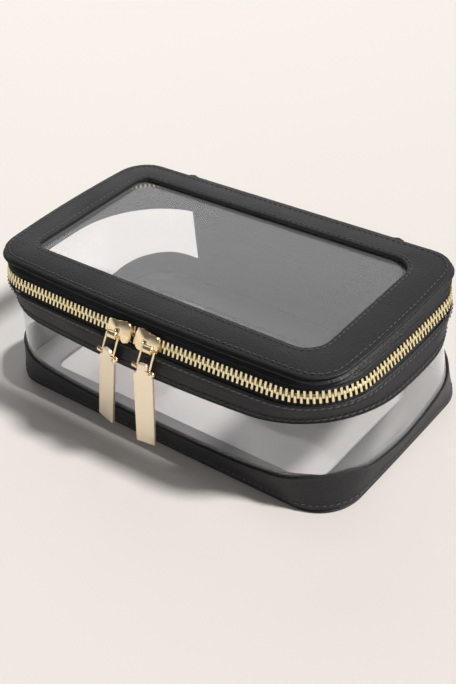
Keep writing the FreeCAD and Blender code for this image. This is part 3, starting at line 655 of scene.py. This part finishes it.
def resample(points, pitch):
    """Points at an even pitch along a polyline, with the direction at each."""
    steps = np.linalg.norm(np.diff(points, axis=0), axis=1)
    reach = np.concatenate([[0], np.cumsum(steps)])
    wanted = np.arange(pitch / 2, reach[-1], pitch)
    places = np.stack([np.interp(wanted, reach, points[:, i]) for i in range(3)], axis=1)
    ahead = np.stack([np.interp(wanted + pitch * 0.2, reach, points[:, i]) for i in range(3)],
                     axis=1)
    along = ahead - places
    return places, along / np.linalg.norm(along, axis=1)[:, None]


def one_stitch(place, direction, normal, vertices, faces):
    """Add a short slanting thread, thickest where it arches over the leather."""
    side = np.cross(normal, direction)
    side /= np.linalg.norm(side)
    direction = direction + side * (STITCH_SLANT + rng.normal(0, 0.03))
    direction /= np.linalg.norm(direction)
    first = len(vertices)
    for ring in range(STITCH_RINGS):
        share = ring / (STITCH_RINGS - 1)
        arch = math.sin(math.pi * share)
        centre = (place + direction * (share - 0.5) * STITCH_LENGTH * MM
                  + normal * (arch * 1.2 - 0.9) * STITCH_RADIUS * MM)
        girth = STITCH_RADIUS * MM * (0.45 + 0.55 * arch)
        for k in range(STITCH_SIDES):
            angle = 2 * math.pi * k / STITCH_SIDES
            vertices.append(centre + (side * math.cos(angle) + normal * math.sin(angle)) * girth)
    for ring in range(STITCH_RINGS - 1):
        for k in range(STITCH_SIDES):
            here = first + ring * STITCH_SIDES + k
            after = first + ring * STITCH_SIDES + (k + 1) % STITCH_SIDES
            faces.append((here, after, after + STITCH_SIDES, here + STITCH_SIDES))
    last = first + (STITCH_RINGS - 1) * STITCH_SIDES
    faces.append([first + k for k in reversed(range(STITCH_SIDES))])
    faces.append([last + k for k in range(STITCH_SIDES)])


def stitches(name, line, outward, body, closed=True):
    """A row of stitches along the line, each of which dips into the leather at both ends."""
    points = np.vstack([line, line[:1]]) if closed else line
    normals = np.vstack([outward, outward[:1]]) if closed else outward
    places, along = resample(points, STITCH_PITCH * MM)
    vertices, faces = [], []
    for place, direction in zip(places, along):
        nearest = int(np.argmin(np.linalg.norm(points - place, axis=1)))
        one_stitch(place, direction, normals[nearest], vertices, faces)
    piece = make_object(name, vertices, faces, THREAD_PAINTED_PALER)
    return finish_piece(piece, body, "zip_tape")


def shell_line(shell, z, out, stations=ROUND):
    """A line on the shell and the outward direction along it."""
    line = shell.at(z, out, stations)
    beyond = shell.at(z, np.asarray(out) + 1.0, stations)
    outward = beyond - line
    return line, outward / np.linalg.norm(outward, axis=1)[:, None]


def flat_line(points):
    """A line on a level face and the upward direction along it."""
    return points, np.repeat([[0.0, 0.0, 1.0]], len(points), axis=0)


def make_stitching():
    """The rows of stitches on the lid, the cuff and the foot."""
    lid_line = level(upper.at(LID_RIM_LEVEL, -2.0), LID_TOP + 0.35)
    stitches("lid_stitch_outer", *flat_line(lid_line), "lid")
    stitches("lid_stitch_window", *flat_line(window_at(LID_TOP + LID_RISE + 0.12, 2.1)), "lid")
    stitches("cuff_stitch_top", *shell_line(lower, 62.6, 1.5, OPEN), "base", closed=False)
    stitches("cuff_stitch_bottom", *shell_line(lower, 54.3, 1.5, OPEN), "base", closed=False)
    stitches("foot_stitch", *shell_line(lower, 4.4, 1.35), "base")


# Metal --------------------------------------------------------------------------------------------

SLIDER_Y, SLIDER_TILT = -64.4, 26.0
# Each slider's place along the front and the way its shield points
SLIDERS = {"left": (-9.4, -1), "right": (8.6, 1)}
TAG_LEAN = {"left": 13.5, "right": 6.0}
TAG_TURN = {"left": -6.0, "right": 13.0}
EYE_OFFSET, EYE_DROP, EYE_RISE = 2.6, 3.2, 3.7


def turned(axis, degrees):
    """A turn about one of the frame's axes."""
    return Matrix.Rotation(math.radians(degrees), 3, axis)


def round_curve(corners, count):
    """A smooth closed curve through the corners, with so many points for each."""
    corners = np.array(corners, float)
    points = []
    for i in range(len(corners)):
        before, start, end, after = (corners[(i + k) % len(corners)] for k in (-1, 0, 1, 2))
        for t in np.linspace(0, 1, count, endpoint=False):
            points.append(0.5 * ((2 * start) + (end - before) * t
                                 + (2 * before - 5 * start + 4 * end - after) * t ** 2
                                 + (3 * start - before - 3 * end + after) * t ** 3))
    return np.array(points)


def domed_leaf(name, way, place):
    """The slider's front shield: a scalloped leaf, thin at its edge and domed in the middle."""
    back_face, front_face, dome = 2.35, 3.0, 1.15
    half = [(-7.3, 0.0), (-7.1, 2.7), (-5.6, 5.0), (-3.2, 5.5), (-0.6, 4.6), (1.6, 4.2),
            (4.3, 4.5), (6.4, 3.2), (7.5, 0.0)]
    corners = half + [(x, -y) for x, y in reversed(half[1:-1])]
    edge = round_curve([(way * x, y) for x, y in corners], 5)
    rows = [np.column_stack([edge * 0.985, np.full(len(edge), back_face)])]
    for share in (1.0, 0.99, 0.96, 0.9, 0.8, 0.65, 0.48, 0.3, 0.12):
        lift = front_face + dome * (1 - share ** 2.2) - 0.3 * (share > 0.995)
        rows.append(np.column_stack([edge * share, np.full(len(edge), lift)]))
    placed = [[place(point) for point in row] for row in rows]
    return tube_mesh(name, placed, METAL)


def strap_over_bar(name, way, place):
    """The loop on the shield that the link's top bar turns in."""
    outer, inner, half_width = 2.0, 1.05, 2.7
    angles = np.radians(np.linspace(-35, 205, 15))
    section = [(outer * math.cos(a), outer * math.sin(a)) for a in angles]
    section += [(inner * math.cos(a), inner * math.sin(a)) for a in reversed(angles)]
    columns = way * EYE_OFFSET + np.linspace(-half_width, half_width, 9)
    swell = 1 + 0.06 * (1 - np.linspace(-1, 1, 9) ** 2)
    rows = [[place((x, y * grow - EYE_DROP, z * grow + EYE_RISE - 0.1))
             for x, grow in zip(columns, swell)] for y, z in section]
    return tube_mesh(name, rows, METAL, closed=False)


def round_bar(name, start, end, profile, sides=20):
    """A turned bar between two points: the profile gives (share of the length, radius in mm)."""
    axis = (end - start).normalized()
    across = axis.orthogonal().normalized()
    other = axis.cross(across)
    rows = []
    for k in range(sides):
        angle = 2 * math.pi * k / sides
        out = across * math.cos(angle) + other * math.sin(angle)
        rows.append([start.lerp(end, share) + out * radius * MM for share, radius in profile])
    return tube_mesh(name, rows, METAL, closed=False)


def ball_pin(name, middle, axis):
    """The tag's pin: a thin rod with a ball at each end."""
    reach, ball = 6.4, 1.35
    profile = []
    for angle in np.radians(np.linspace(4, 158, 10)):
        profile.append((-reach - ball * math.cos(angle), ball * math.sin(angle)))
    profile += [(-x, radius) for x, radius in reversed(profile)]
    span = reach + ball
    shares = [((x + span) / (2 * span), radius) for x, radius in profile]
    return round_bar(name, middle - axis * span * MM, middle + axis * span * MM, shares)


def hanging_tag(name, place):
    """A flat bar whose narrow neck rises past the pin between the link's two sides."""
    half = [(0.0, 3.6), (1.6, 3.45), (2.6, 2.7), (3.0, 1.6), (3.1, -0.6), (3.5, -1.9), (4.4, -2.7),
            (5.0, -3.3), (5.3, -4.2), (5.3, -47.4), (4.9, -47.9)]
    neck, foot = 3.0, -40.0
    edge = half + [(-x, y) for x, y in reversed(half[1:])]
    thick, cut = 0.9, 0.28
    rows = []
    for inset, z in ((cut, -thick), (0.0, cut - thick), (0.0, thick - cut), (cut, thick)):
        row = []
        for x, y in edge:
            inward = math.copysign(min(inset, abs(x)), x)
            rise = inset if y < foot else -inset if y > neck else 0
            row.append(place((x - inward, y + rise, z)))
        rows.append(row)
    count = len(edge)
    faces = []
    for first in (0, count, 2 * count):
        for i in range(count):
            j = (i + 1) % count
            faces.append((first + i, first + j, first + count + j, first + count + i))
    faces.append(list(reversed(range(count))))
    faces.append([3 * count + i for i in range(count)])
    piece = make_object(name, np.array(rows).reshape(-1, 3), faces, TAG_GOLD_PAINTED_PALER, smooth=False)
    face_outwards(piece)
    return piece


def make_pulls():
    """Each slider's shield and strap, and the pin and tag that hang from its link."""
    joints = {joint["name"]: joint for joint in frame["joints"]}
    for side, (slider_x, way) in SLIDERS.items():
        axes = turned("X", 90 - SLIDER_TILT)
        middle = Vector((slider_x, SLIDER_Y, ZIP_LEVEL))

        def on_slider(local):
            return (middle + axes @ Vector(local)) * MM

        shield = domed_leaf(f"slider_shield_{side}", way, on_slider)
        finish_piece(shield, f"slider_{side}", "gold_metal", f"slider_crown_{side}")
        strap = strap_over_bar(f"slider_strap_{side}", way, on_slider)
        finish_piece(strap, f"slider_{side}", "gold_metal")
        swing = joints[f"tag_{side}_swing"]
        pin_at, pin_axis = Vector(swing["pos_m"]), Vector(swing["axis"]).normalized()
        pin = ball_pin(f"tag_ball_pin_{side}", pin_at, pin_axis)
        finish_piece(pin, f"link_{side}", "gold_metal", f"tag_pin_{side}")
        flat = turned("Z", TAG_TURN[side]) @ turned("X", 90) @ turned("Z", -TAG_LEAN[side])

        def on_tag(local):
            return pin_at + flat @ Vector(local) * MM

        tag = hanging_tag(f"hanging_tag_{side}", on_tag)
        finish_piece(tag, f"tag_{side}", "gold_metal", f"pull_tag_{side}")


def polish_cad_metal():
    """Teeth, slider bodies and links keep their CAD shape and get plating; the slider bodies and
    links also get rounded edges.
    """
    for name, item in frame["nodes"].items():
        is_teeth = name.startswith("zip_teeth")
        if is_teeth or name.startswith(("slider_body", "pull_link")):
            item.data.materials.clear()
            item.data.materials.append(TEETH if is_teeth else METAL)
        if name.startswith(("slider_body", "pull_link")):
            bevel = item.modifiers.new("rounded_edges", "BEVEL")
            bevel.width = 0.22 * MM
            bevel.segments = 2
            bevel.limit_method = "ANGLE"


# Stage, lights and camera -------------------------------------------------------------------------

AZIMUTH, ELEVATION, ROLL, DISTANCE = 41.89, 36.19, -5.96, 0.60122
TARGET = Vector((0, 0, 0.040))
ASIDE, ABOVE = -0.00166, 0.01297
FOCAL = 59.53


def make_camera():
    """The camera, at its angles and distance from the target, which sits aside of its middle."""
    yaw, pitch, roll = (math.radians(value) for value in (AZIMUTH, ELEVATION, ROLL))
    back = Vector((math.sin(yaw) * math.cos(pitch), -math.cos(yaw) * math.cos(pitch),
                   math.sin(pitch)))
    right = Vector((math.cos(yaw), math.sin(yaw), 0))
    up = back.cross(right)
    turned_right = right * math.cos(roll) + up * math.sin(roll)
    turned_up = up * math.cos(roll) - right * math.sin(roll)
    camera = bpy.data.objects.new("camera", bpy.data.cameras.new("camera"))
    bpy.context.scene.collection.objects.link(camera)
    place = TARGET - turned_right * ASIDE - turned_up * ABOVE + back * DISTANCE
    axes = Matrix((turned_right, turned_up, back)).transposed().to_4x4()
    camera.matrix_world = Matrix.Translation(place) @ axes
    camera.data.lens = FOCAL
    camera.data.sensor_width = 36
    camera.data.clip_start = 0.01
    bpy.context.scene.camera = camera


def make_stage():
    """A plain pale table top."""
    material, nodes, links, shader = new_material("table_top")
    cloud = node(nodes, "ShaderNodeTexNoise", Scale=3.0, Detail=2.0)
    links.new(nodes.new("ShaderNodeTexCoord").outputs["Object"], cloud.inputs["Vector"])
    links.new(mixed_colour(nodes, links, cloud.outputs["Fac"], (0.80, 0.765, 0.73),
                           (0.82, 0.785, 0.75)), shader.inputs["Base Color"])
    shader.inputs["Roughness"].default_value = 0.7
    side = 4.0
    floor = make_object("table_top", [(-side, -side, 0), (side, -side, 0), (side, side, 0),
                                      (-side, side, 0)], [(0, 1, 2, 3)], material)


def make_lights():
    """A sky that is brightest near the horizon, a sun from the right and behind, and a soft box."""
    world = bpy.data.worlds.new("studio")
    bpy.context.scene.world = world
    world.use_nodes = True
    nodes, links = world.node_tree.nodes, world.node_tree.links
    background = nodes["Background"]
    background.inputs["Color"].default_value = (1.0, 0.985, 0.97, 1)
    split = nodes.new("ShaderNodeSeparateXYZ")
    links.new(nodes.new("ShaderNodeTexCoord").outputs["Generated"], split.inputs[0])
    links.new(ramp(nodes, links, split.outputs["Z"], 0.05, 0.40, 1.0, 0.12),
              background.inputs["Strength"])
    sun = bpy.data.objects.new("key", bpy.data.lights.new("key", "SUN"))
    sun.data.energy = 3.5
    sun.data.angle = math.radians(8)
    sun.data.color = (1.0, 0.98, 0.95)
    sun.rotation_mode = "QUATERNION"
    sun.rotation_quaternion = Vector((-0.85, -0.36, -1)).to_track_quat("-Z", "Y")
    soft = bpy.data.objects.new("soft_box", bpy.data.lights.new("soft_box", "AREA"))
    soft.data.shape = "RECTANGLE"
    soft.data.size, soft.data.size_y = 1.6, 1.2
    soft.data.energy = 9
    soft.location = (-1.1, 1.2, 1.3)
    soft.rotation_mode = "QUATERNION"
    soft.rotation_quaternion = (-soft.location).to_track_quat("-Z", "Y")
    for light in (sun, soft):
        bpy.context.scene.collection.objects.link(light)
    bpy.context.scene.view_settings.view_transform = "Standard"


make_camera()
make_stage()
make_lights()
make_lid()
make_floor()
make_skirt()
make_wall()
make_upper_bands()
make_back()
make_tapes()
make_stitching()
make_pulls()
polish_cad_metal()
